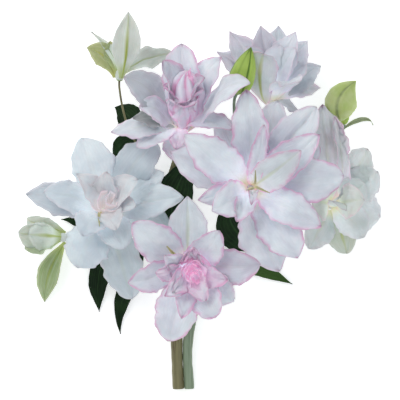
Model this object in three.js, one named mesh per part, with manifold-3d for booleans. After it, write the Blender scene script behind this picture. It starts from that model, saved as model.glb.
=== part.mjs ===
// Two cut stems of double oriental lily, laid on their backs: blooms, buds, leaves and stems.
//
// Frame: millimetres, +Z up from the surface that the bunch lies on, +Y from the cut ends
// towards the blooms, and the origin on the surface under the middle of the bunch.
// Each bloom has a place (the top of its stalk) and a facing (the way it looks). A tepal
// is a row [tip, width, open, fall, cup, up, point, sway]: tip is the place of its point
// from the bloom's place, open and fall the angles from the facing at which its midrib
// starts and ends, cup the angle by which its edges stand up, up the share by which its
// face turns upwards, point how pointed its end is, and sway the sideways bow of its midrib.
import * as THREE from "three";
import { mergeVertices } from "three/addons/utils/BufferGeometryUtils.js";
import Module from "manifold-3d";

const wasm = await Module();
wasm.setup();

// ---- Driving dimensions, in millimetres ----
const BLOOM_DIAMETER = 190; // across the outer tepals of the largest bloom
const TABLE_DIAMETER = 190; // the bloom diameter that the tepal tables are drawn for
const TEPAL_THICKNESS = 1.0;
const LEAF_THICKNESS = 0.9;
const STEM_CUT = 203.5; // from the middle of the bunch to the cut ends
const STEM_DIAMETER = 10.6;
const STALK_DIAMETER = 5.6; // the stalks that carry the blooms
const BUD_STALK_DIAMETER = 3.2;
const RECEPTACLE_DIAMETER = 11; // the seat that a bloom's tepals grow from
const RECEPTACLE_HEIGHT = 10;
const GAP = 0.35; // left free between pieces that touch
const LEAST_WIDTH = 1.6; // of a blade at its point
const ROLLED_TURN = 120; // degrees from one rolled tepal to the next
const OUTER_STEPS = 6; // rows along a blade that stands alone
const INNER_STEPS = 4; // rows along a blade that grows from a heart

const GROW = BLOOM_DIAMETER / TABLE_DIAMETER;
const STEM_RADIUS = STEM_DIAMETER / 2;
const STALK_RADIUS = STALK_DIAMETER / 2;
const BUD_STALK_RADIUS = BUD_STALK_DIAMETER / 2;
const SEAT_RADIUS = RECEPTACLE_DIAMETER / 2;

const vec = (x, y, z) => new THREE.Vector3(x, y, z);
const from = ([x, y, z]) => vec(x, y, z);
const rad = THREE.MathUtils.degToRad;

// ---- Blooms: the outer rows are separate nodes, the inner rows grow together ----
const BLOOMS = {
  centre_bloom: {
    place: [53, 13, 42],
    facing: [0.03, -0.02, 1],
    outer: [
      [[-6, 100, 44], 40, 35, 100, 20, 0, 0.5, 2],
      [[67, 83, 36], 46, 40, 105, 15, 0, 0.5, 0],
      [[95, 12, 40], 50, 40, 105, 10, 0, 0.45, 0],
      [[48, -73, 34], 46, 40, 115, 10, 0, 0.5, 0],
      [[30, -87, 16], 50, 55, 115, 0, 0, 0.6, 6],
      [[-84, 37, 26], 44, 50, 105, 10, 0, 0.7, 0],
    ],
    inner: [
      [[-69, 54, 48], 42, 25, 105, 15, 0, 0.6, 0],
      [[69, 54, 50], 38, 20, 100, 15, 0, 0.6, 0],
      [[71, -40, 46], 38, 25, 110, 15, 0, 0.6, 0],
      [[-41, -24, 58], 38, 10, 120, 20, 0, 0.6, 0],
      [[49, 37, 68], 32, 5, 80, 40, 0, 0.8, 0],
      [[12, 63, 66], 20, 5, 75, 30, 0, 0.4, 0],
      [[-55, -13, 40], 26, 25, 105, 10, 0, 0.7, 0],
      [[-16, -35, 54], 24, 10, 110, 20, 0, 0.6, 0],
      [[4, 20, 58], 6, 5, 40, 10, 0, 0.7, 0],
      [[20, -6, 60], 6, 5, 40, 10, 0, 0.7, 0],
    ],
    rolled: { count: 0 },
  },
  front_bloom: {
    place: [-14, -66, 48],
    facing: [0.1, -0.22, 0.97],
    outer: [
      [[-55, 43, 40], 42, 35, 100, 15, 0, 0.55, 0],
      [[1, 70, 30], 42, 45, 100, 10, 0, 0.8, 0],
      [[76, 0, 36], 42, 40, 100, 15, 0, 0.55, 0],
      [[50, -42, 26], 36, 50, 105, 10, 0, 0.5, 0],
      [[-20, -80, 22], 46, 45, 110, 5, 0, 0.35, 0],
      [[-60, -19, 36], 34, 40, 105, 10, 0, 0.6, 0],
    ],
    inner: [
      [[30, -54, 44], 38, 25, 110, 10, 0, 0.4, 0],
      [[34, 35, 56], 38, 20, 95, 20, 0, 0.5, 0],
      [[-5, -54, 50], 24, 20, 110, 10, 0, 0.6, 0],
      [[-28, 12, 58], 26, 10, 90, 30, 0, 0.6, 0],
      [[-22, -26, 60], 26, 10, 95, 30, 0, 0.6, 0],
    ],
    rolled: { count: 3, reach: 14, rise: 62, width: 26 },
  },
  left_bloom: {
    place: [-100, -17, 28],
    facing: [0, 0.42, 0.91],
    outer: [
      [[-25, 83, 8], 52, 45, 105, -10, 0, 0.4, 0],
      [[43, 78, 10], 44, 45, 105, -5, 0, 0.5, -3],
      [[83, 20, 32], 40, 45, 100, 10, 0, 0.65, 0],
      [[28, -88, 10], 44, 50, 115, 5, 0, 0.4, 0],
      [[-28, -54, 24], 50, 45, 120, -5, 0, 0.35, 0],
      [[-83, 23, 18], 38, 45, 110, 5, 0, 0.7, 0],
    ],
    inner: [
      [[-62, 25, 36], 36, 25, 110, 10, 0, 0.6, 0],
      [[-20, -20, 58], 36, 5, 140, 10, 0, 0.5, 0],
      [[26, -48, 42], 38, 25, 120, 5, 0, 0.5, 0],
      [[-27, 44, 52], 28, 10, 90, 25, 0, 0.7, 0],
      [[36, 38, 50], 34, 15, 95, 20, 0, 0.6, 0],
      [[14, -14, 60], 30, 5, 110, 20, 0, 0.5, 0],
    ],
    rolled: { count: 3, reach: 14, rise: 56, width: 26 },
  },
  upper_bloom: {
    place: [-18, 73, 42],
    facing: [-0.02, 0.72, 0.69],
    outer: [
      [[-1, 89, 22], 42, 30, 80, 10, 0, 0.5, 0],
      [[-61, 55, 24], 44, 45, 95, 10, 0, 0.5, 0],
      [[-75, -2, 14], 34, 55, 100, 10, 0, 0.5, 0],
      [[-55, 26, 40], 30, 40, 110, 10, 0.4, 0.6, 0],
      [[40, 75, 26], 40, 35, 85, 10, 0, 0.6, 0],
      [[53, 42, 24], 42, 45, 95, 10, 0, 0.5, 0],
    ],
    inner: [
      [[38, 26, 44], 30, 25, 90, 15, 0, 0.6, 0],
      [[-48, -18, 22], 30, 45, 100, 10, 0, 0.5, 0],
      [[-30, 72, 44], 34, 20, 60, 25, 0, 0.7, 0],
      [[-12, 42, 66], 34, 5, 60, 30, 0, 0.6, 0],
      [[16, 40, 66], 34, 5, 60, 30, 0, 0.6, 0],
    ],
    rolled: { count: 3, reach: 13, rise: 80, width: 28 },
  },
  top_bloom: {
    place: [74, 101, 38],
    facing: [0.05, 0.87, 0.48],
    outer: [
      [[-56, 57, -14], 36, 35, 85, 10, 0.3, 0.8, 0],
      [[-42, 80, -24], 38, 30, 70, 10, 0.2, 0.8, 0],
      [[11, 87, -36], 40, 30, 60, 10, 0, 0.8, 0],
      [[55, 42, -16], 38, 45, 85, 10, 0.3, 0.8, 0],
      [[40, 68, -6], 38, 30, 65, 10, 0.3, 0.8, 0],
      [[-3, 56, 48], 38, 45, 60, 10, 0, 0.5, 0],
    ],
    inner: [
      [[-10, 83, 0], 36, 15, 45, 20, 0, 0.8, 0],
      [[27, 76, 6], 36, 20, 50, 20, 0.2, 0.8, 0],
      [[34, 30, 34], 34, 40, 80, 10, 0.3, 0.5, 0],
      [[54, 18, -10], 26, 60, 100, 10, 0.4, 0.9, 0],
      [[22, 52, 34], 36, 20, 50, 20, 0.2, 0.5, 0],
    ],
    rolled: { count: 0 },
  },
  right_bloom: {
    place: [138, -5, 25],
    facing: [0.3, 0.08, 0.95],
    outer: [
      [[39, 59, 14], 40, 45, 100, 10, 0, 0.4, 0],
      [[50, 35, 12], 42, 45, 100, 10, 0, 0.4, 0],
      [[56, -14, -20], 42, 50, 120, 10, 0, 0.4, 0],
      [[18, -52, 4], 38, 50, 105, 10, 0, 0.5, 0],
      [[-24, -46, 24], 34, 45, 100, 10, 0, 0.5, 0],
    ],
    inner: [
      [[-10, 105, 25], 44, 45, 100, 10, 0, 0.5, -4],
      [[34, -34, 26], 36, 25, 110, 10, 0, 0.4, 0],
      [[34, 20, 46], 36, 10, 70, 30, 0, 0.5, 0],
      [[-6, 36, 50], 34, 10, 70, 30, 0, 0.5, 0],
      [[0, -24, 50], 36, 10, 80, 30, 0, 0.5, 0],
    ],
    rolled: { count: 2, reach: 12, rise: 46, width: 22 },
  },
  opening_bud: {
    place: [-85, 128, 40],
    facing: [0.05, 0.97, 0.2],
    outer: [
      [[9, 70, 32], 32, 30, 5, 25, 0, 0.8, 0],
      [[-34, 32, 6], 28, 30, 75, 25, 0.6, 0.7, 0],
    ],
    inner: [
      [[57, 28, -8], 26, 40, 80, 15, 0.6, 0.5, 0],
      [[-14, 44, 2], 24, 15, 10, 30, 0.6, 0.7, 0],
      [[10, 48, -10], 24, 10, 10, 30, 0.4, 0.7, 0],
    ],
    rolled: { count: 0 },
  },
  half_open_bud: {
    place: [-142, -40, 26],
    facing: [-0.93, 0.05, 0.3],
    outer: [
      [[-26, -70, -24], 25, 65, 100, 10, 0.8, 0.8, 0],
      [[-38, 24, 2], 34, 25, 50, 25, 0.3, 0.6, 0],
    ],
    inner: [
      [[-50, 6, 12], 34, 15, 20, 40, 0.3, 0.4, 0],
      [[-44, -12, 6], 34, 15, 20, 40, 0.3, 0.5, 0],
      [[-38, 4, 26], 34, 20, 10, 40, 0, 0.5, 0],
    ],
    rolled: { count: 0 },
  },
  pale_bud: {
    place: [153, 83, 32],
    facing: [0.1, 0.9, 0.3],
    outer: [],
    inner: [
      [[-18, 34, 14], 34, 25, 30, 20, 0.6, 0.8, 0],
      [[14, 42, 16], 32, 20, 10, 40, 0.4, 0.7, 0],
      [[2, 38, -6], 28, 20, 0, 30, 0.4, 0.7, 0],
    ],
    rolled: { count: 0 },
  },
};

// ---- Closed bud: its base, its tip and its widest diameter ----
const GREEN_BUD = { base: [44, 111, 62], tip: [52.5, 157, 84], diameter: 28 };

// ---- Leaves: base, tip, width, the way the base sets off, the way the tip goes ----
const LEAVES = {
  leaf_1: [[-76, 76, 22], [-92, 100, 8], 28, [0.7, 1, 0], [-1, 0.3, -0.1]],
  leaf_2: [[-66, 62, 20], [-88, 37, 8], 24, [-1, 0.6, 0], [0.1, -1, -0.2]],
  leaf_3: [[-32, -12, 13 + STEM_RADIUS], [-8, 48, 26], 34, [-0.3, 1, 0.3], [0.5, 1, 0]],
  leaf_4: [[-96, -52, 16], [-150, -21, 2], 18, [-0.5, 0.7, -0.4], [-1, 0, -0.1]],
  leaf_5: [[-96, -52, 16], [-109, -121, 1], 22, [-0.7, -1, -0.1], [0.1, -1, -0.2]],
  leaf_6: [[-63, -43, 13.5], [-86, -145, 1], 20, [-0.1, -1, 0], [0.2, -1, -0.1]],
  leaf_7: [[33, -8, 14 + STEM_RADIUS], [62, -57, 5], 42, [-0.3, -1, 0.2], [0.9, -1, -0.2]],
  leaf_8: [[12, -62, 10.5], [100, -91, 1], 20, [1, 0, 0], [1, -0.5, -0.1]],
  leaf_9: [[6, -80, 9.5], [38, -107, 1], 17, [0.8, -0.5, 0], [0.5, -1, -0.1]],
};

// ---- Stems: each is a curve of points, with the stalks and bracts that grow from it ----
const STEMS = {
  stem_left: {
    path: [[-22.6, -STEM_CUT, STEM_RADIUS], [-24.6, -154, 7], [-24, -70, 9], [-36, 14, 14]],
    stalks: [
      ["front_bloom", [-24, -110, 8], [-20, -86, 20]],
      ["left_bloom", [-34, 0, 13], [-74, -28, 16]],
      ["upper_bloom", [-36, 12, 14], [-26, 44, 26]],
      ["opening_bud", [-37, 12, 14], [-76, 76, 22]],
      ["half_open_bud", [-30, -30, 11], [-96, -52, 16]],
    ],
    bracts: [],
  },
  stem_right: {
    path: [[-11.6, -STEM_CUT, STEM_RADIUS], [-13, -154, 7], [2, -90, 9], [38, 0, 14]],
    stalks: [
      ["centre_bloom", [30, -20, 12], [48, 2, 24]],
      ["top_bloom", [37, 0, 14], [60, 62, 26]],
      ["right_bloom", [32, -16, 12], [98, -14, 12]],
      ["pale_bud", [38, 0, 14], [118, 38, 14]],
      ["green_bud", [38, 0, 14], [38, 62, 40]],
    ],
    bracts: [
      [[152, 75, 29], [185, 80, 22], 5, [0.7, 0.7, 0.2], [0.3, -1, -0.2]],
      [[118, 38, 14], [137, 97, 18], 12, [0, 1, 0.3], [0.3, 1, 0.1]],
    ],
  },
};

const COLOURS = {
  tepal: { color: 0xe6e6ee, roughness: 0.55, metalness: 0 },
  bud: { color: 0xb9cc8c, roughness: 0.5, metalness: 0 },
  leaf: { color: 0x1f4a24, roughness: 0.45, metalness: 0 },
  stem: { color: 0x6f8460, roughness: 0.6, metalness: 0 },
};

// ---- Solids ----
function manifoldOf(geometry) {
  geometry.deleteAttribute("normal");
  geometry.deleteAttribute("uv");
  const merged = mergeVertices(geometry, 1e-4);
  return new wasm.Manifold(
    new wasm.Mesh({
      numProp: 3,
      vertProperties: merged.attributes.position.array,
      triVerts: new Uint32Array(merged.index.array),
    }),
  );
}

function geometryOf(solid) {
  const { vertProperties, triVerts } = solid.getMesh();
  const geometry = new THREE.BufferGeometry();
  geometry.setAttribute("position", new THREE.BufferAttribute(vertProperties, 3));
  geometry.setIndex(new THREE.BufferAttribute(triVerts, 1));
  geometry.computeVertexNormals();
  return geometry;
}

// How wide a blade is at t along it, as a share of its greatest width.
function outline(t, claw, widest, point) {
  if (t < widest) return claw + (1 - claw) * Math.sin((Math.PI / 2) * (t / widest)) ** 1.3;
  return (1 - ((t - widest) / (1 - widest)) ** 2.2) ** point;
}

// Rows of points across a blade, from its base to its tip.
// The midrib is a Bezier curve from base to tip that sets off along out and ends along fall.
function bladeRows(b, steps, extra) {
  const chord = b.base.distanceTo(b.tip);
  const midrib = new THREE.CubicBezierCurve3(
    b.base,
    b.base.clone().addScaledVector(b.out, 0.38 * chord),
    b.tip.clone().addScaledVector(b.fall, -0.38 * chord),
    b.tip,
  );
  const rows = [];
  for (let i = 0; i <= steps; i++) {
    const t = i / steps;
    const along = midrib.getTangent(t);
    const level = along.clone().cross(vec(0, 0, 1)).normalize();
    if (level.dot(b.side) < 0) level.negate();
    const side = b.side.clone().lerp(level, b.up);
    side.addScaledVector(along, -side.dot(along)).normalize();
    const face = side.clone().cross(along);
    const half = Math.max(b.width * outline(t, b.claw, b.widest, b.point), LEAST_WIDTH) / 2;
    const cup = rad(b.cup) * (1 - 0.4 * t) || 1e-6;
    const middle = midrib.getPoint(t).addScaledVector(b.side, b.sway * 4 * t * (1 - t));
    rows.push([-1, 0, 1].map((s) => {
      const turn = s * cup;
      const across = ((half + extra) * Math.sin(turn)) / cup;
      const lift = ((half + extra) * (1 - Math.cos(turn))) / cup;
      return middle.clone().addScaledVector(side, across).addScaledVector(face, lift);
    }));
  }
  return rows;
}

// The closed solid of a blade, thickness through, that rests on the surface where it meets it.
function bladeSolid(b, steps, extra = 0) {
  const rows = bladeRows(b, steps, extra);
  const half = b.thickness / 2 + extra;
  const columns = rows[0].length;
  const points = [];
  for (const way of [1, -1])
    rows.forEach((row, i) => row.forEach((p, j) => {
      const ahead = rows[Math.min(i + 1, steps)][j].clone().sub(rows[Math.max(i - 1, 0)][j]);
      const across = row[Math.min(j + 1, columns - 1)].clone().sub(row[Math.max(j - 1, 0)]);
      const q = p.clone().addScaledVector(across.cross(ahead).normalize(), way * half);
      const floor = -extra + (q.z > p.z ? 2 * half : 0);
      points.push(q.x, q.y, Math.max(q.z, floor));
    }));
  const at = (i, j, layer) => layer * rows.length * columns + i * columns + j;
  const faces = [];
  const quad = (p, q, r, s) => faces.push(p, q, r, p, r, s);
  for (let i = 0; i < steps; i++) {
    for (let j = 0; j < columns - 1; j++) {
      quad(at(i, j, 0), at(i, j + 1, 0), at(i + 1, j + 1, 0), at(i + 1, j, 0));
      quad(at(i, j, 1), at(i + 1, j, 1), at(i + 1, j + 1, 1), at(i, j + 1, 1));
    }
    quad(at(i, 0, 1), at(i, 0, 0), at(i + 1, 0, 0), at(i + 1, 0, 1));
    const last = columns - 1;
    quad(at(i, last, 0), at(i, last, 1), at(i + 1, last, 1), at(i + 1, last, 0));
  }
  for (let j = 0; j < columns - 1; j++) {
    quad(at(0, j, 0), at(0, j, 1), at(0, j + 1, 1), at(0, j + 1, 0));
    quad(at(steps, j, 0), at(steps, j + 1, 0), at(steps, j + 1, 1), at(steps, j, 1));
  }
  return new wasm.Manifold(
    new wasm.Mesh({
      numProp: 3,
      vertProperties: new Float32Array(points),
      triVerts: new Uint32Array(faces),
    }),
  );
}

// ---- Tepals ----
function tepalBlade(bloom, [tip, width, open, fall, cup, up, point, sway], seat) {
  const facing = from(bloom.facing).normalize();
  const reach = from(tip).multiplyScalar(GROW);
  const outward = reach.clone().addScaledVector(facing, -reach.dot(facing)).normalize();
  const towards = (angle) => outward.clone().multiplyScalar(Math.sin(rad(angle)))
    .addScaledVector(facing, Math.cos(rad(angle)));
  const place = from(bloom.place);
  return {
    base: place.clone().addScaledVector(outward, seat.radius).addScaledVector(facing, seat.height),
    tip: place.add(reach),
    out: towards(open),
    fall: towards(fall),
    side: outward.clone().cross(facing),
    width: width * GROW,
    cup,
    up,
    point,
    sway,
    claw: 0.12,
    widest: 0.56,
    thickness: TEPAL_THICKNESS,
  };
}

// The small tepals rolled round the middle of a bloom, one inside the next.
function rolledRows(bloom) {
  const { count, reach, rise, width } = bloom.rolled;
  const facing = from(bloom.facing).normalize();
  const first = vec(0, 1, 0).cross(facing).normalize();
  return Array.from({ length: count }, (_, i) => {
    const spread = reach * (1 - (0.6 * i) / count);
    const tip = first.clone().applyAxisAngle(facing, rad(ROLLED_TURN * i))
      .multiplyScalar(spread).addScaledVector(facing, rise);
    return [tip.toArray(), width, 25, -5, 65, 0, 0.5, 0];
  });
}

function receptacle(bloom, extra = 0) {
  const profile = [
    new THREE.Vector2(0, 0),
    new THREE.Vector2(SEAT_RADIUS - 1.5 + extra, 0),
    new THREE.Vector2(SEAT_RADIUS + extra, RECEPTACLE_HEIGHT / 2),
    new THREE.Vector2(0, RECEPTACLE_HEIGHT + extra),
  ];
  const geometry = new THREE.LatheGeometry(profile, 6).rotateX(Math.PI / 2);
  const turn = new THREE.Quaternion()
    .setFromUnitVectors(vec(0, 0, 1), from(bloom.facing).normalize());
  geometry.applyQuaternion(turn).translate(...bloom.place);
  return manifoldOf(geometry);
}

// ---- Stems, stalks and the closed bud ----
function tube(points, radius, sides, steps) {
  const path = new THREE.CatmullRomCurve3(points);
  const section = new THREE.Shape();
  for (let i = 0; i < sides; i++) {
    const turn = (2 * Math.PI * i) / sides;
    section[i ? "lineTo" : "moveTo"](radius * Math.cos(turn), radius * Math.sin(turn));
  }
  section.closePath();
  return manifoldOf(new THREE.ExtrudeGeometry(section, { steps, extrudePath: path }));
}

function stemSolid(stem, extra = 0) {
  let solid = tube(stem.path.map(from), STEM_RADIUS + extra, 10, 9);
  for (const [name, start, bend] of stem.stalks) {
    const bud = name === "green_bud";
    const bloom = bud ? null : BLOOMS[name];
    const facing = bud
      ? from(GREEN_BUD.tip).sub(from(GREEN_BUD.base)).normalize()
      : from(bloom.facing).normalize();
    const end = from(bud ? GREEN_BUD.base : bloom.place).addScaledVector(facing, -GAP);
    const radius = (name.endsWith("bud") ? BUD_STALK_RADIUS : STALK_RADIUS) + extra;
    const lead = end.clone().addScaledVector(facing, -8);
    solid = solid.add(tube([from(start), from(bend), lead, end], radius, 6, 6));
  }
  for (const bract of stem.bracts)
    solid = solid.add(bladeSolid(leafBlade(bract), INNER_STEPS, extra));
  return solid;
}

function closedBud({ base, tip, diameter }, extra = 0) {
  const length = from(tip).distanceTo(from(base));
  const profile = [[0, 0], [0.2, 0.02], [0.42, 0.2], [0.5, 0.42], [0.42, 0.7], [0.18, 0.94], [0, 1]];
  const points = profile.map(([r, h]) =>
    new THREE.Vector2(r ? r * diameter + extra : 0, h * length));
  const geometry = new THREE.LatheGeometry(points, 12).rotateX(Math.PI / 2);
  const turn = new THREE.Quaternion()
    .setFromUnitVectors(vec(0, 0, 1), from(tip).sub(from(base)).normalize());
  geometry.applyQuaternion(turn).translate(...base);
  return manifoldOf(geometry);
}

function leafBlade([base, tip, width, out, fall]) {
  const along = from(tip).sub(from(base));
  return {
    base: from(base),
    tip: from(tip),
    out: from(out).normalize(),
    fall: from(fall).normalize(),
    side: along.clone().cross(vec(0, 0, 1)).normalize(),
    width,
    cup: 15,
    up: 0,
    point: 1,
    sway: 0,
    claw: 0.35,
    widest: 0.45,
    thickness: LEAF_THICKNESS,
  };
}

// ---- Putting the bunch together ----
const bunch = new THREE.Group();
const cutters = []; // what is already in place, grown by the gap

function overlapping(a, b) {
  const p = a.boundingBox();
  const q = b.boundingBox();
  return [0, 1, 2].every((k) => p.min[k] < q.max[k] && q.min[k] < p.max[k]);
}

// Adds a piece, cut back from the pieces before it that it lies against.
function place(name, finish, make) {
  let solid = make(0);
  for (const cutter of cutters)
    if (overlapping(solid, cutter)) solid = solid.subtract(cutter);
  const parts = solid.decompose().sort((a, b) => b.volume() - a.volume());
  solid = parts[0];
  cutters.push(make(GAP));
  const material = new THREE.MeshStandardMaterial(COLOURS[finish]);
  const mesh = new THREE.Mesh(geometryOf(solid), material);
  mesh.name = name;
  bunch.add(mesh);
}

const OUTER_SEAT = { radius: SEAT_RADIUS + 1, height: 0 };
const INNER_SEAT = { radius: 3.5, height: RECEPTACLE_HEIGHT / 2 };

for (const [name, stem] of Object.entries(STEMS))
  place(name, "stem", (extra) => stemSolid(stem, extra));
place("green_bud", "bud", (extra) => closedBud(GREEN_BUD, extra));
for (const [name, bloom] of Object.entries(BLOOMS))
  place(`${name}_heart`, "tepal", (extra) =>
    [...bloom.inner, ...rolledRows(bloom)].reduce(
      (solid, row) => solid.add(bladeSolid(tepalBlade(bloom, row, INNER_SEAT), INNER_STEPS, extra)),
      receptacle(bloom, extra),
    ));
for (const [name, bloom] of Object.entries(BLOOMS))
  bloom.outer.forEach((row, i) =>
    place(`${name}_tepal_${i + 1}`, "tepal", (extra) =>
      bladeSolid(tepalBlade(bloom, row, OUTER_SEAT), OUTER_STEPS, extra)));
for (const [name, leaf] of Object.entries(LEAVES))
  place(name, "leaf", (extra) => bladeSolid(leafBlade(leaf), OUTER_STEPS, extra));

// The origin goes under the middle of the bunch.
const box = new THREE.Box3().setFromObject(bunch);
const middle = box.getCenter(vec(0, 0, 0)).setZ(0);
for (const mesh of bunch.children) mesh.geometry.translate(-middle.x, -middle.y, 0);

export default bunch;
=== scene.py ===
"""A bunch of two cut stems of double oriental lily, lying on its back.

Tables are in millimetres in the CAD's own drawing frame, whose middle is MIDDLE, and
metres() turns them into the row frame.
"""
import math

import bpy
import numpy as np
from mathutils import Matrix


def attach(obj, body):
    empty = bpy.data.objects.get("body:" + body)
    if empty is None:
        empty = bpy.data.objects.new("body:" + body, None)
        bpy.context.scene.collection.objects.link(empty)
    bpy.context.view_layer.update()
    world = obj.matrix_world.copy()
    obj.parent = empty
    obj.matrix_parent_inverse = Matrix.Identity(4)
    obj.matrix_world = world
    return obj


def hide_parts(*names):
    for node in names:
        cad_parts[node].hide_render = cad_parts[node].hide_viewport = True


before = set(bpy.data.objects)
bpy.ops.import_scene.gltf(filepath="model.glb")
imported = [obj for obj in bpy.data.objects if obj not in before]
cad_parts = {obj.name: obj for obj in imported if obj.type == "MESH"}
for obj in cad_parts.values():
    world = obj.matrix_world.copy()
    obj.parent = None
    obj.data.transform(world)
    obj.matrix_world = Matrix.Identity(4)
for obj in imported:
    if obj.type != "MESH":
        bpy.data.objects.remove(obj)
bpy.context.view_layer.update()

MIDDLE = np.array([1.14, -2.80, 0.0])  # of the bunch's box, in the drawing frame
STEM_CUT = 203.5
STEM_RADIUS = 5.3
STALK_RADIUS = 2.8
BUD_STALK_RADIUS = 1.6
SLIM_STALK_RADIUS = 1.1
TEPAL_THICKNESS = 0.9
LEAF_THICKNESS = 0.7
SEAT_RADIUS = 5.5
INNER_SEAT_RADIUS = 3.0
SEAT_HEIGHT = 10.0
CAMERA_HEIGHT = 1.6  # metres above the surface
LENS = 132.9


def metres(points):
    return (np.asarray(points, float) - MIDDLE) * 0.001


# ---- Camera, light and floor ----
def make_stage():
    scene = bpy.context.scene
    scene.view_settings.view_transform = "Standard"
    scene.view_settings.look = "None"
    camera = bpy.data.objects.new("camera", bpy.data.cameras.new("camera"))
    camera.data.lens = LENS
    camera.data.sensor_width = 36
    camera.location = (*(-MIDDLE[:2] * 0.001), CAMERA_HEIGHT)
    scene.collection.objects.link(camera)
    scene.camera = camera

    world = bpy.data.worlds.new("studio")
    world.use_nodes = True
    background = world.node_tree.nodes["Background"]
    background.inputs["Color"].default_value = (0.93, 0.96, 1.0, 1)
    background.inputs["Strength"].default_value = 0.5
    scene.world = world

    lights = (
        ("key_light", (-0.7, 0.75, 1.25), 0.9, 8.5, (1.0, 0.985, 0.96)),
        ("fill_light", (0.95, -0.25, 1.1), 1.1, 2.0, (0.92, 0.96, 1.0)),
        ("low_light", (-0.1, -1.2, 0.7), 1.0, 1.4, (0.95, 0.97, 1.0)),
    )
    for name, place, size, power, colour in lights:
        lamp = bpy.data.lights.new(name, "AREA")
        lamp.size = size
        lamp.energy = power
        lamp.color = colour
        light = bpy.data.objects.new(name, lamp)
        light.location = place
        away = np.array(place) / np.linalg.norm(place)
        light.rotation_euler = (math.acos(away[2]), 0, math.atan2(away[1], away[0]) + math.pi / 2)
        scene.collection.objects.link(light)

    floor_mesh = bpy.data.meshes.new("floor")
    reach = 3.0
    floor_mesh.from_pydata(
        [(-reach, -reach, -0.0005), (reach, -reach, -0.0005),
         (reach, reach, -0.0005), (-reach, reach, -0.0005)],
        [], [(0, 1, 2, 3)])
    floor = bpy.data.objects.new("floor", floor_mesh)
    scene.collection.objects.link(floor)
    pale = bpy.data.materials.new("floor_pale")
    pale.use_nodes = True
    shader = pale.node_tree.nodes["Principled BSDF"]
    shader.inputs["Base Color"].default_value = (0.92, 0.92, 0.92, 1)
    shader.inputs["Roughness"].default_value = 0.9
    shader.inputs["Emission Color"].default_value = (1, 1, 1, 1)
    shader.inputs["Emission Strength"].default_value = 0.5
    floor_mesh.materials.append(pale)


make_stage()


# ---- Materials ----
class Graph:
    """Adds nodes to a material, with sockets or numbers as arguments."""

    def __init__(self, name):
        self.material = bpy.data.materials.new(name)
        self.material.use_nodes = True
        self.tree = self.material.node_tree
        self.shader = self.tree.nodes["Principled BSDF"]

    def put(self, socket, value):
        if isinstance(value, bpy.types.NodeSocket):
            self.tree.links.new(value, socket)
        else:
            socket.default_value = value

    def attribute(self, name):
        node = self.tree.nodes.new("ShaderNodeAttribute")
        node.attribute_name = name
        return node.outputs["Fac"]

    def math(self, operation, a, b=0.0, c=0.0):
        node = self.tree.nodes.new("ShaderNodeMath")
        node.operation = operation
        for socket, value in zip(node.inputs, (a, b, c)):
            self.put(socket, value)
        return node.outputs[0]

    def ramp(self, value, low, high, start=0.0, end=1.0):
        """start below low, end above high, and smooth between them."""
        node = self.tree.nodes.new("ShaderNodeMapRange")
        node.interpolation_type = "SMOOTHSTEP"
        for socket, v in zip(node.inputs, (value, low, high, start, end)):
            self.put(socket, v)
        return node.outputs[0]

    def mix(self, share, a, b):
        node = self.tree.nodes.new("ShaderNodeMix")
        node.data_type = "RGBA"
        self.put(node.inputs["Factor"], share)
        for socket, value in zip((node.inputs[6], node.inputs[7]), (a, b)):
            self.put(socket, (*value, 1) if isinstance(value, tuple) else value)
        return node.outputs[2]

    def vector(self, x, y, z=0.0):
        node = self.tree.nodes.new("ShaderNodeCombineXYZ")
        for socket, value in zip(node.inputs, (x, y, z)):
            self.put(socket, value)
        return node.outputs[0]

    def place(self):
        return self.tree.nodes.new("ShaderNodeTexCoord").outputs["Object"]

    def noise(self, where, scale, detail=2.0, roughness=0.5):
        node = self.tree.nodes.new("ShaderNodeTexNoise")
        for name, value in (("Vector", where), ("Scale", scale), ("Detail", detail),
                            ("Roughness", roughness)):
            self.put(node.inputs[name], value)
        return node.outputs["Fac"]

    def bump(self, height, strength, distance):
        node = self.tree.nodes.new("ShaderNodeBump")
        for name, value in (("Height", height), ("Strength", strength), ("Distance", distance)):
            self.put(node.inputs[name], value)
        self.put(self.shader.inputs["Normal"], node.outputs[0])

    def finish(self, colour, roughness, **sockets):
        self.put(self.shader.inputs["Base Color"], colour)
        self.put(self.shader.inputs["Roughness"], roughness)
        for name, value in sockets.items():
            self.put(self.shader.inputs[name.replace("_", " ")], value)
        return self.material


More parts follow.
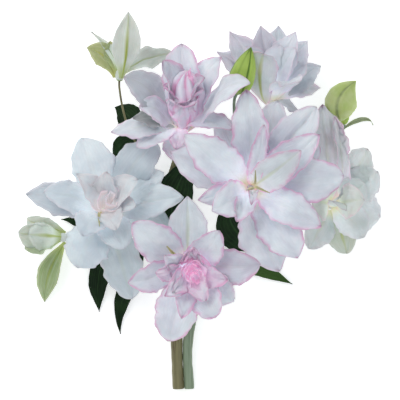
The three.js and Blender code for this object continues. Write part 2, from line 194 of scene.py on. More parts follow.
def tepal_material(name, light, shade, throat, midrib, blush):
    g = Graph(name)
    along, across, rim = g.attribute("along"), g.attribute("across"), g.attribute("rim")
    back, edge, flush = g.attribute("back"), g.attribute("edge"), g.attribute("flush")
    green, rib = g.attribute("green"), g.attribute("rib")
    where = g.place()
    blotch = g.noise(where, 38.0, 3.0)
    fine = g.noise(where, 420.0, 3.0)
    # Veins run side by side from the claw to the tip.
    wander = g.math("MULTIPLY", g.math("SUBTRACT", blotch, 0.5), 1.4)
    veins = g.math("SINE", g.math("MULTIPLY_ADD", across, 44.0, wander))
    streaks = g.noise(g.vector(g.math("MULTIPLY", across, 9.0), g.math("MULTIPLY", along, 1.6)), 1.0, 4.0)
    colour = g.mix(g.ramp(blotch, 0.35, 0.68), light, shade)
    colour = g.mix(g.math("MULTIPLY", g.ramp(veins, 0.2, 1.0), 0.12), colour, shade)
    # Green comes over it from the claw and up the midrib.
    tint = g.math("MULTIPLY", green, g.ramp(streaks, 0.2, 0.75, 0.6, 1.0))
    colour = g.mix(tint, colour, (0.27, 0.39, 0.15))
    middle = g.math("ABSOLUTE", across)
    band = g.ramp(middle, 0.02, 0.17, 1.0, 0.0)
    fade = g.ramp(along, 0.35, 0.95, 1.0, 0.3)
    colour = g.mix(g.math("MULTIPLY", g.math("MULTIPLY", band, fade), rib), colour, midrib)
    base = g.ramp(along, 0.04, 0.32, 1.0, 0.0)
    colour = g.mix(g.math("MULTIPLY", base, 0.8), colour, throat)
    # Pink lies in patches over the face, glows inside the edge, and lines the edge.
    patch = g.math("MULTIPLY", flush, g.ramp(g.noise(where, 70.0, 3.0), 0.34, 0.62, 0.35, 1.0))
    colour = g.mix(patch, colour, blush)
    glow = g.math("MULTIPLY", g.ramp(rim, 0.5, 7.0, 0.38, 0.0), edge)
    colour = g.mix(glow, colour, (0.84, 0.6, 0.78))
    uneven = g.noise(where, 90.0, 3.0)
    width = g.ramp(uneven, 0.3, 0.7, 1.4, 5.5)
    line = g.math("MULTIPLY", g.math("SUBTRACT", 1.0, g.ramp(rim, 0.0, width)), edge)
    line = g.math("MULTIPLY", line, g.ramp(uneven, 0.34, 0.58, 0.35, 0.85))
    colour = g.mix(line, colour, (0.76, 0.34, 0.56))
    colour = g.mix(g.attribute("gold"), colour, (0.56, 0.5, 0.15))
    # Painted shade: tepals that lie in shade are mixed towards a dark blue-grey, in streaks along them.
    dim = g.math("MULTIPLY", g.attribute("dim"), g.ramp(streaks, 0.25, 0.75, 0.9, 1.0))
    colour = g.mix(dim, colour, (0.24, 0.29, 0.33))
    # Painted light: the tepal glows with its own colour by its painted glow share, standing in for light
    # coming through the tepals into the middle of a bloom.
    lit = g.mix(g.math("MULTIPLY", g.attribute("deep"), 0.32), (0.0, 0.0, 0.0), colour)
    g.bump(g.math("ADD", g.math("MULTIPLY", veins, 0.5), g.math("MULTIPLY", fine, 0.35)), 0.35, 0.0004)
    rough = g.ramp(fine, 0.3, 0.7, 0.42, 0.56)
    return g.finish(
        colour, rough, Specular_IOR_Level=0.35, Subsurface_Weight=0.6, Subsurface_Scale=0.003,
        Subsurface_Radius=(1.0, 0.8, 0.8), Sheen_Weight=0.05, Emission_Color=lit,
        Emission_Strength=1.0)


def leaf_material():
    g = Graph("leaf")
    along, across, back = g.attribute("along"), g.attribute("across"), g.attribute("back")
    where = g.place()
    blotch = g.noise(where, 60.0, 4.0)
    fine = g.noise(where, 600.0, 3.0)
    veins = g.math("SINE", g.math("MULTIPLY", across, 30.0))
    colour = g.mix(g.ramp(blotch, 0.35, 0.7), (0.004, 0.014, 0.005), (0.01, 0.033, 0.008))
    colour = g.mix(g.math("MULTIPLY", g.ramp(veins, 0.4, 1.0), 0.4), colour, (0.018, 0.055, 0.013))
    rib = g.ramp(g.math("ABSOLUTE", across), 0.015, 0.07, 1.0, 0.0)
    colour = g.mix(g.math("MULTIPLY", rib, 0.4), colour, (0.04, 0.1, 0.03))
    colour = g.mix(g.math("MULTIPLY", back, 0.4), colour, (0.03, 0.07, 0.025))
    colour = g.mix(g.math("MULTIPLY", g.attribute("green"), 0.7), colour, (0.07, 0.15, 0.03))
    g.bump(g.math("ADD", g.math("MULTIPLY", veins, 0.4), g.math("MULTIPLY", fine, 0.3)), 0.5, 0.0005)
    return g.finish(colour, g.ramp(fine, 0.3, 0.7, 0.4, 0.55), Specular_IOR_Level=0.15)


def stem_material(name, light, dark, streak, streak_share):
    g = Graph(name)
    where = g.place()
    long_grain = g.tree.nodes.new("ShaderNodeMapping")
    g.put(long_grain.inputs["Vector"], where)
    long_grain.inputs["Scale"].default_value = (300.0, 14.0, 300.0)
    grain = g.noise(long_grain.outputs[0], 1.0, 4.0)
    blotch = g.noise(where, 45.0, 3.0)
    colour = g.mix(g.ramp(grain, 0.3, 0.7), light, dark)
    marks = g.math("MULTIPLY", g.ramp(grain, 0.5, 0.66), g.ramp(blotch, 0.42, 0.62))
    colour = g.mix(g.math("MULTIPLY", marks, streak_share), colour, streak)
    colour = g.mix(g.attribute("pith"), colour, (0.5, 0.56, 0.33))
    g.bump(grain, 0.45, 0.0006)
    return g.finish(colour, g.ramp(grain, 0.3, 0.7, 0.38, 0.58), Specular_IOR_Level=0.45)


MATERIALS = {
    "tepal_pink_edged": tepal_material(
        "tepal_pink_edged", (0.84, 0.92, 0.99), (0.68, 0.74, 0.81), (0.6, 0.62, 0.36),
        (0.47, 0.56, 0.16), (0.88, 0.5, 0.7)),
    "tepal_white": tepal_material(
        "tepal_white", (0.77, 0.86, 0.92), (0.62, 0.7, 0.77), (0.74, 0.74, 0.6),
        (0.6, 0.66, 0.4), (0.86, 0.68, 0.66)),
    "tepal_cream": tepal_material(
        "tepal_cream", (0.77, 0.84, 0.87), (0.7, 0.76, 0.75), (0.7, 0.7, 0.46),
        (0.5, 0.58, 0.24), (0.76, 0.62, 0.74)),
    "tepal_greenish": tepal_material(
        "tepal_greenish", (0.76, 0.81, 0.78), (0.64, 0.7, 0.64), (0.3, 0.38, 0.1),
        (0.36, 0.44, 0.08), (0.8, 0.7, 0.7)),
    "bud_green": tepal_material(
        "bud_green", (0.44, 0.6, 0.13), (0.32, 0.47, 0.08), (0.3, 0.44, 0.08),
        (0.1, 0.2, 0.02), (0.62, 0.68, 0.38)),
    "leaf": leaf_material(),
    "stem_olive": stem_material(
        "stem_olive", (0.25, 0.23, 0.11), (0.14, 0.13, 0.06), (0.1, 0.045, 0.03), 0.9),
    "stem_green": stem_material(
        "stem_green", (0.3, 0.38, 0.26), (0.19, 0.26, 0.16), (0.12, 0.14, 0.08), 0.5),
}

# What each look adds to a tepal: pink edge, pink flush, green tint, midrib, gold, and painted shade (a dark
# blue-grey laid over tepals that lie in shade).
LOOK_PARTS = ("edge", "flush", "green", "rib", "gold", "dim")
# A look with a large last share is mostly painted shade.
LOOKS = {
    "plain": (0.12, 0.0, 0.03, 0.08, 0.0, 0.0),
    "pale": (0.5, 0.08, 0.02, 0.1, 0.0, 0.0),
    "pink": (0.95, 0.06, 0.0, 0.06, 0.0, 0.0),
    "rosy": (1.0, 0.45, 0.0, 0.0, 0.0, 0.0),
    "rose": (1.0, 0.95, 0.0, 0.0, 0.0, 0.0),
    "blush": (0.35, 0.6, 0.0, 0.0, 0.04, 0.0),
    "peach": (0.12, 0.3, 0.0, 0.0, 0.05, 0.0),
    "lilac": (0.5, 0.3, 0.05, 0.3, 0.0, 0.0),
    "cream": (0.1, 0.0, 0.12, 0.2, 0.0, 0.0),
    "creamy": (0.35, 0.0, 0.1, 0.3, 0.1, 0.0),
    "straw": (0.0, 0.0, 0.0, 0.0, 0.3, 0.0),
    "stamen": (0.0, 0.0, 0.3, 0.0, 0.75, 0.0),
    "soft": (0.3, 0.12, 0.02, 0.1, 0.0, 0.06),
    "lilac_painted_shade": (0.6, 0.3, 0.06, 0.3, 0.0, 0.22),
    "gold": (0.0, 0.0, 0.1, 0.0, 0.85, 0.0),
    "green": (0.0, 0.0, 0.22, 0.8, 0.0, 0.0),
    "green_painted_shade": (0.0, 0.0, 0.25, 0.8, 0.0, 0.4),
    "greener": (0.0, 0.0, 0.65, 1.0, 0.0, 0.0),
    "leafy": (0.0, 0.0, 1.0, 0.6, 0.0, 0.0),
    "olive": (0.0, 0.0, 1.0, 1.0, 0.3, 0.1),
    "dark_painted_shade": (0.3, 0.3, 0.5, 0.0, 0.3, 0.8),
    "ribbed": (0.3, 0.02, 0.1, 0.35, 0.0, 0.0),
    "ribbed_green": (0.0, 0.0, 0.1, 1.0, 0.0, 0.0),
    "grey_painted_shade": (0.15, 0.0, 0.05, 0.1, 0.0, 0.35),
    "dim": (0.35, 0.1, 0.08, 0.15, 0.03, 0.55),
    "dim_pink": (1.0, 0.2, 0.0, 0.1, 0.0, 0.3),
    "pale_painted_shade": (0.35, 0.2, 0.03, 0.1, 0.0, 0.36),
    "creamy_pink": (0.9, 0.03, 0.08, 0.35, 0.06, 0.05),
    "green_base": (0.0, 0.0, 0.42, 1.0, 0.08, 0.0),
    "soft_rib": (0.6, 0.12, 0.03, 1.0, 0.0, 0.2),
}


# ---- Blades: tepals and leaves ----
def unit(v):
    v = np.asarray(v, float)
    return v / np.maximum(np.linalg.norm(v, axis=-1, keepdims=True), 1e-9)


def smooth(v, low, high):
    x = np.clip((v - low) / (high - low), 0, 1)
    return x * x * (3 - 2 * x)


TIP_SHARPNESS = 0.15  # more than each row's own point, for tepals and leaves alike


def outline(t, claw, widest, point):
    up = claw + (1 - claw) * np.sin(math.pi / 2 * np.clip(t / widest, 0, 1)) ** 1.3
    down = (1 - np.clip((t - widest) / (1 - widest), 0, 1) ** 1.9) ** (point + TIP_SHARPNESS)
    return np.where(t < widest, up, down)


def half_widths(b, t, s):
    """How far the blade reaches from its midrib, row by row, on each side of it."""
    half = b["width"] * outline(t, b["claw"], b["widest"], b["point"]) / 2
    ragged = b["wave"] * 0.018
    left = half * (1 + ragged * (np.sin(26 * t + b["seed"]) + 0.7 * np.sin(49 * t + 2 * b["seed"])))
    right = half * (1 + ragged * (np.sin(23 * t - b["seed"]) + 0.7 * np.sin(53 * t + 3 * b["seed"])))
    half = np.where(s[None] < 0, left[:, None], right[:, None])
    return np.maximum(half, 0.4)


class Mesh:
    """Vertices, faces and per-vertex attributes, added to piece by piece."""

    NAMES = ("along", "across", "rim", "back", "edge", "flush", "green", "rib", "gold", "dim",
             "deep", "pith")

    def __init__(self):
        self.points, self.faces = [], []
        self.values = {name: [] for name in self.NAMES}
        self.count = 0

    def add(self, points, faces, **values):
        self.points.append(points)
        self.faces += [tuple(i + self.count for i in face) for face in faces]
        for name in self.NAMES:
            value = np.broadcast_to(values.get(name, 0.0), len(points))
            self.values[name].append(value)
        self.count += len(points)

    def piece(self, name, slot, nodes):
        mesh = bpy.data.meshes.new(name)
        mesh.from_pydata(metres(np.concatenate(self.points)).tolist(), [], self.faces)
        mesh.polygons.foreach_set("use_smooth", [True] * len(mesh.polygons))
        for key in self.NAMES:
            layer = mesh.attributes.new(key, "FLOAT", "POINT")
            layer.data.foreach_set("value", np.concatenate(self.values[key]).astype("f"))
        mesh.materials.append(MATERIALS[slot])
        made = bpy.data.objects.new(name, mesh)
        bpy.context.scene.collection.objects.link(made)
        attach(made, "root")
        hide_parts(*nodes)
        return made


def grid_faces(rows, columns):
    faces = []
    for i in range(rows - 1):
        for j in range(columns - 1):
            a = i * columns + j
            faces.append((a, a + 1, a + columns + 1, a + columns))
    return faces


def tube_faces(rows, sides):
    faces = []
    for i in range(rows - 1):
        for j in range(sides):
            a, c = i * sides + j, i * sides + (j + 1) % sides
            faces.append((a, c, c + sides, a + sides))
    return faces


def shut_tube_faces(rows, sides):
    first = tuple(range(sides))[::-1]
    last = tuple((rows - 1) * sides + j for j in range(sides))
    return [*tube_faces(rows, sides), first, last]


def blade(mesh, b, rows=46, columns=21):
    """Adds a closed thin blade to mesh. b names its base, tip, directions and shape."""
    chance = np.random.RandomState(b["seed"])
    t = np.linspace(0, 1, rows) ** 0.92
    s = np.linspace(-1, 1, columns)
    chord = np.linalg.norm(b["tip"] - b["base"])
    p0, p3 = b["base"], b["tip"]
    p1 = p0 + b["out"] * 0.38 * chord
    p2 = p3 - b["fall"] * 0.38 * chord
    k = t[:, None]
    middle = (1 - k) ** 3 * p0 + 3 * (1 - k) ** 2 * k * p1 + 3 * (1 - k) * k**2 * p2 + k**3 * p3
    along = unit(3 * (1 - k) ** 2 * (p1 - p0) + 6 * (1 - k) * k * (p2 - p1) + 3 * k**2 * (p3 - p2))
    middle = middle + b["side"] * (b["sway"] * 4 * k * (1 - k))
    level = unit(np.cross(along, (0, 0, 1)))
    level *= np.where((level @ b["side"])[:, None] < 0, -1, 1)
    side = (1 - b["up"]) * b["side"] + b["up"] * level
    side = unit(side - along * np.sum(side * along, axis=1, keepdims=True))
    face = np.cross(side, along)

    half = half_widths(b, t, s)
    # The section is followed outwards from the midrib, turning by cup and by the rolled edges.
    cup = math.radians(b["cup"]) * (1 - 0.4 * k)
    body = smooth(k, 0.12, 0.5)
    left, right = (math.radians(r) for r in b["roll"])
    turn = cup * s
    turn = turn + body * (right * smooth(s, 0.35, 1.0) - left * smooth(-s, 0.35, 1.0))
    step = 2 / (columns - 1)
    between = (turn[:, 1:] + turn[:, :-1]) / 2
    reach = (half[:, 1:] + half[:, :-1]) / 2 * step
    across = np.concatenate([np.zeros((rows, 1)), np.cumsum(np.cos(between) * reach, axis=1)], axis=1)
    lift = np.concatenate([np.zeros((rows, 1)), np.cumsum(np.sin(between) * reach, axis=1)], axis=1)
    centre = columns // 2
    across -= across[:, centre:centre + 1]
    lift -= lift[:, centre:centre + 1]
    lift -= b["groove"] * np.exp(-(s / 0.13) ** 2) * smooth(k, 0.0, 0.2) * smooth(k, 1.0, 0.8)
    phase = chance.uniform(0, 2 * math.pi, 4)
    lumps = np.sin(8 * k + 4 * s + phase[0]) + np.sin(14 * k - 5 * s + phase[1])
    lumps = lumps + 0.6 * np.sin(23 * k + 9 * s + phase[2])
    lift += b["wave"] * 0.24 * lumps * smooth(k, 0.08, 0.35)
    for sign in (-1, 1):
        phase = chance.uniform(0, 2 * math.pi, 3)
        ruffle = np.sin(2 * math.pi * 1.7 * k + phase[0]) + 0.55 * np.sin(2 * math.pi * 3.6 * k + phase[1])
        ruffle = ruffle + 0.22 * np.sin(2 * math.pi * 7.5 * k + phase[2])
        reach_out = np.clip(s * sign, 0, 1) ** 2.2
        lift += b["wave"] * 0.7 * ruffle * reach_out * smooth(k, 0.12, 0.45) * (1 - 0.4 * smooth(k, 0.8, 1))

    points = middle[:, None] + side[:, None] * across[..., None] + face[:, None] * lift[..., None]
    rim = np.minimum((1 - abs(s)) * half, ((1 - k) * chord * 1.1 + 0.3) * np.ones(columns))
    # Painted light: the blade glows from its claw, fading out along it.
    deep = b["deep"][0] * (1 - smooth(k, *b["deep"][1:]))
    sheet(mesh, points, rim, b["thickness"], b["look"], along=k, across=s, deep=deep, pith=b["pith"])


def sheet(mesh, points, rim, thickness, look, **values):
    """Adds a grid of points to mesh as a closed sheet that thins towards its rim."""
    rows, columns = points.shape[:2]
    rise = np.gradient(points, axis=0)
    wide = np.gradient(points, axis=1)
    normal = unit(np.cross(wide, rise))
    thick = thickness * (0.35 + 0.65 * smooth(rim, 0.0, 4.0))
    values.update(zip(LOOK_PARTS, look), rim=rim)
    layers = []
    for way in (1, -1):
        layer = points + normal * (way * thick / 2)[..., None]
        low = 0.5 + (0.5 + 0.5 * way) * thick
        height = layer[..., 2]
        layer[..., 2] = np.where(height < low + 4, low + 4 * np.exp((height - low - 4) / 4), height)
        layer[..., 2] = np.maximum(layer[..., 2], low)
        layers.append(layer.reshape(-1, 3))
    count = rows * columns
    faces = grid_faces(rows, columns)
    faces += [tuple(i + count for i in f[::-1]) for f in faces]
    ring = [i * columns for i in range(rows)]
    ring += [(rows - 1) * columns + j for j in range(1, columns)]
    ring += [i * columns + columns - 1 for i in range(rows - 2, -1, -1)]
    ring += list(range(columns - 2, 0, -1))
    for a, c in zip(ring, ring[1:] + ring[:1]):
        faces.append((a, c, c + count, a + count))
    both = {key: np.tile(np.broadcast_to(value, (rows, columns)).reshape(-1), 2)
            for key, value in values.items()}
    both["back"] = np.repeat([0.0, 1.0], count)
    mesh.add(np.concatenate(layers), faces, **both)


def tepal(mesh, bloom, row, look, wave, roll, groove, inner, seed):
    """Adds one tepal, which leaves the bloom's seat at the angle open from its facing."""
    tip, width, opening, fall, cup, up, point, sway = row
    facing = unit(bloom["facing"])
    reach = np.array(tip, float)
    outward = unit(reach - facing * (reach @ facing))
    towards = lambda angle: (outward * math.sin(math.radians(angle))
                             + facing * math.cos(math.radians(angle)))
    place = np.array(bloom["place"], float)
    seat, height = (INNER_SEAT_RADIUS, SEAT_HEIGHT / 2) if inner else (SEAT_RADIUS, 1.0)
    blade(mesh, dict(
        base=place + outward * seat + facing * height, tip=place + reach,
        out=towards(opening), fall=towards(fall), side=unit(np.cross(outward, facing)),
        width=width, cup=cup, up=up, point=point, sway=sway, claw=0.16, widest=0.56,
        wave=wave, roll=roll, groove=groove, thickness=TEPAL_THICKNESS, look=LOOKS[look], seed=seed,
        # Painted light: inner tepals glow up to past their middle, outer tepals only near the claw.
        deep=(1.0, 0.15, 0.75) if inner else (0.8, 0.02, 0.4), pith=0))


def tube(mesh, path, radii, sides=16, pith=False):
    """Adds a closed tube along path, with its ends shut flat."""
    path = np.asarray(path, float)
    along = unit(np.gradient(path, axis=0))
    side = unit(np.cross(along, (0.0, 0.0, 1.0) if abs(along[0][2]) < 0.9 else (1.0, 0.0, 0.0)))
    for i in range(1, len(path)):
        side[i] = unit(side[i - 1] - along[i] * (side[i - 1] @ along[i]))
    up = np.cross(side, along)
    turn = np.linspace(0, 2 * math.pi, sides, endpoint=False)
    ring = side[:, None] * np.cos(turn)[:, None] + up[:, None] * np.sin(turn)[:, None]
    points = path[:, None] + ring * np.asarray(radii)[:, None, None]
    rows = len(path)
    shell = points.reshape(-1, 3)
    along_value = np.repeat(np.linspace(0, 1, rows), sides)
    mesh.add(shell, tube_faces(rows, sides), along=along_value)
    for end, order in ((0, -1), (rows - 1, 1)):
        rim = points[end]
        inset = path[end] + (rim - path[end]) * 0.82
        cap = np.concatenate([rim, inset, path[end][None]])
        faces = []
        for j in range(sides):
            n = (j + 1) % sides
            faces.append((j, n, n + sides, j + sides)[::order])
            faces.append((j + sides, n + sides, 2 * sides)[::order])
        value = np.concatenate([np.zeros(sides), np.full(sides + 1, 1.0 if pith and end == 0 else 0.0)])
        mesh.add(cap, faces, pith=value)


def catmull(points, count):
    """Points along the centripetal Catmull-Rom curve that the CAD's stems follow."""
    p = [np.array(q, float) for q in points]
    p = [2 * p[0] - p[1], *p, 2 * p[-1] - p[-2]]
    spans = len(points) - 1
    out = []
    for value in np.linspace(0, spans, count):
        i = min(int(value), spans - 1)
        w = value - i
        a, b, c, d = p[i:i + 4]
        d0, d1, d2 = (max(np.linalg.norm(y - x) ** 0.5, 1e-4) for x, y in ((a, b), (b, c), (c, d)))
        m1 = ((b - a) / d0 - (c - a) / (d0 + d1) + (c - b) / d1) * d1
        m2 = ((c - b) / d1 - (d - b) / (d1 + d2) + (d - c) / d2) * d1
        out.append(b + m1 * w + (3 * (c - b) - 2 * m1 - m2) * w**2 + (2 * (b - c) + m1 + m2) * w**3)
    return np.array(out)


# ---- Blooms ----
# A tepal's row: [tip from the bloom's place, width, open, fall, cup, up, point, sway], look,
# wave, roll, groove. It leaves the seat at the angle open from the bloom's facing, ends at the
# angle fall, and bends across by cup. Up turns it level, point sharpens its tip, sway bends
# it sideways, wave ruffles it, roll curls its two edges and groove sinks its midrib.
def row(numbers, look, wave=2.0, roll=(0, 0), groove=0.8):
    return dict(row=numbers, look=look, wave=wave, roll=roll, groove=groove)


